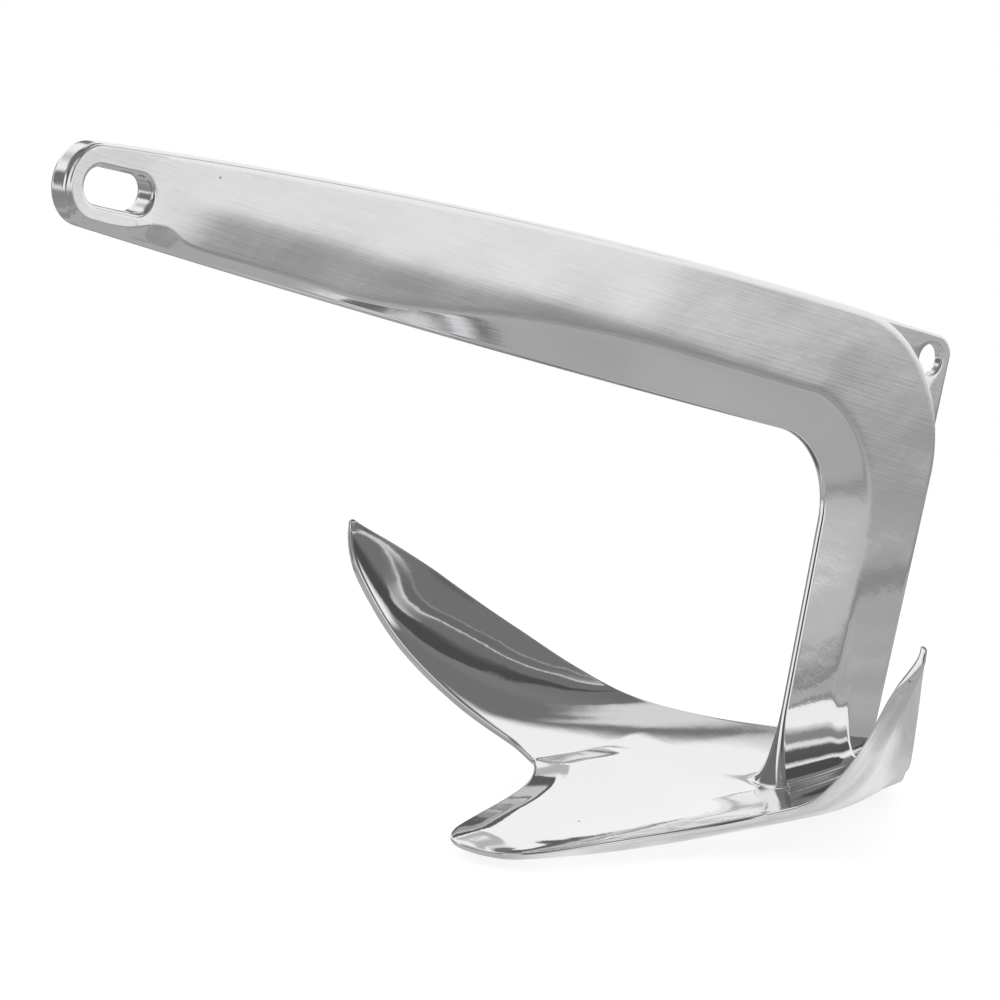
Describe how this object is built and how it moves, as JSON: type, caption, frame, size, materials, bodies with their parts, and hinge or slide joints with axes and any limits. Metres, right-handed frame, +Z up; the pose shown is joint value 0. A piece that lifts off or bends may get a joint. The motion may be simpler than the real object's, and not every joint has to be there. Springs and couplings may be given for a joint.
{
  "type": "claw anchor",
  "caption": "Polished steel claw anchor cast in a single piece, with a bent shank, shackle slot, trip-line eye and scooped claw with pointed side flukes.",
  "frame": {"origin": "on the ground under the middle of the anchor's length and width, with the anchor upright on its claw as pictured", "axes": "+X from the crown to the shackle eye, +Z up, the XZ plane is the mirror plane through the shank"},
  "size_m": [0.5245, 0.3756, 0.3485],
  "materials": {
    "steel": "polished"
  },
  "bodies": {
    "root": {"anchor": "steel"}
  },
  "joints": []
}
